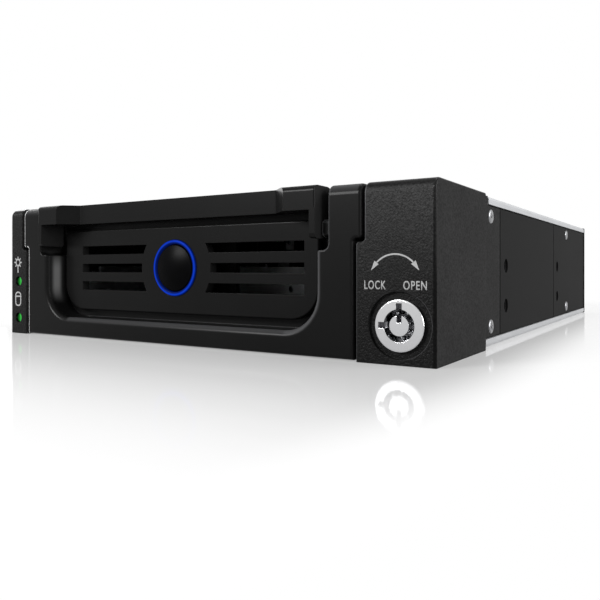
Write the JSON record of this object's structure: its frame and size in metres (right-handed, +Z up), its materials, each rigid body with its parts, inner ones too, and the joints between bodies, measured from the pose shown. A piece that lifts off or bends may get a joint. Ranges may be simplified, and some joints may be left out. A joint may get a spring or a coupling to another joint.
{
  "type": "hot swap drive cage",
  "caption": "Drive bay cage with a lockable slide-out tray for one disk drive: bail handle, grille front with lit push button, key lock, status lights and rear fan.",
  "frame": {"origin": "middle of the bottom rest face, under the centre of the whole cage", "axes": "+X to the right across the front, +Y from the front bezel towards the rear sockets, +Z up"},
  "size_m": [0.149, 0.215, 0.0413],
  "materials": {
    "housing_abs": "fine-grained black ABS moulding",
    "side_panel": "black powder coated sheet",
    "cover_aluminium": "brushed bare aluminium sheet",
    "rail_pom": "smooth black acetal",
    "nickel_steel": "nickel plated screw steel",
    "spring_steel": "zinc plated steel",
    "circuit_board": "green solder mask over fibreglass",
    "connector_black": "black nylon connector",
    "connector_white": "natural nylon connector",
    "fan_plastic": "black glass-filled fan plastic",
    "lock_chrome": "chrome plated zinc",
    "green_light_pipe": "clear green acrylic, lit",
    "blue_light_ring": "frosted blue acrylic, lit",
    "gloss_button": "polished black ABS",
    "tray_steel": "zinc plated sheet steel"
  },
  "bodies": {
    "cage": {"front_housing": "housing_abs", "left_side_plate": "side_panel", "right_side_plate": "side_panel", "rear_housing": "housing_abs", "bottom_cover": "cover_aluminium", "top_cover": "cover_aluminium", "left_guide_rail": "rail_pom", "right_guide_rail": "rail_pom", "rail_screws": "nickel_steel", "side_screws": "nickel_steel", "backplane_board": "circuit_board", "drive_receptacle": "connector_black", "power_socket": "connector_white", "data_socket": "connector_black", "fan_frame": "fan_plastic", "fan_screws": "nickel_steel", "lock_body": "lock_chrome", "lock_clip": "spring_steel", "key_switch": "connector_black", "status_light_pipes": "green_light_pipe", "light_board": "circuit_board"},
    "tray": {"tray_front": "housing_abs", "grille_panel": "housing_abs", "light_ring": "blue_light_ring", "tact_switch": "connector_black", "switch_board": "circuit_board", "switch_board_screws": "nickel_steel", "tray_pan": "tray_steel", "left_runner": "rail_pom", "right_runner": "rail_pom", "tray_screws": "nickel_steel", "hinge_pins": "spring_steel", "button_spring": "spring_steel"},
    "handle": {"handle": "housing_abs"},
    "button": {"power_button": "gloss_button"},
    "lock_plug": {"lock_core": "lock_chrome", "lock_cam": "spring_steel", "cam_screw": "nickel_steel"},
    "switch_plunger": {"switch_plunger": "connector_white"},
    "fan_rotor": {"fan_rotor": "fan_plastic"}
  },
  "joints": [
    {"name": "tray_slide", "type": "slide", "parent": "cage", "child": "tray", "axis": [0, -1, 0], "range_m": [0, 0.18]},
    {"name": "handle_swing", "type": "hinge", "parent": "tray", "child": "handle", "pos_m": [-0.0056, -0.1028, 0.031], "axis": [1, 0, 0], "range_deg": [0, 85]},
    {"name": "button_press", "type": "slide", "parent": "tray", "child": "button", "axis": [0, 1, 0], "range_m": [0, 0.0012], "stiffness_N_per_m": 600, "springref_m": -0.0015, "deforming": ["button_spring"]},
    {"name": "lock_turn", "type": "hinge", "parent": "cage", "child": "lock_plug", "pos_m": [0.06595, -0.105, 0.0088], "axis": [0, 1, 0], "range_deg": [0, 90]},
    {"name": "key_switch_release", "type": "slide", "parent": "cage", "child": "switch_plunger", "axis": [0, -1, 0], "range_m": [0, 0.0008]},
    {"name": "fan_spin", "type": "hinge", "parent": "cage", "child": "fan_rotor", "pos_m": [-0.042, 0.0996, 0.02065], "axis": [0, 1, 0], "continuous": true}
  ],
  "couplings": [
    {"joint": "key_switch_release", "follows": "lock_turn", "m_per_rad": 0.0005093}
  ]
}
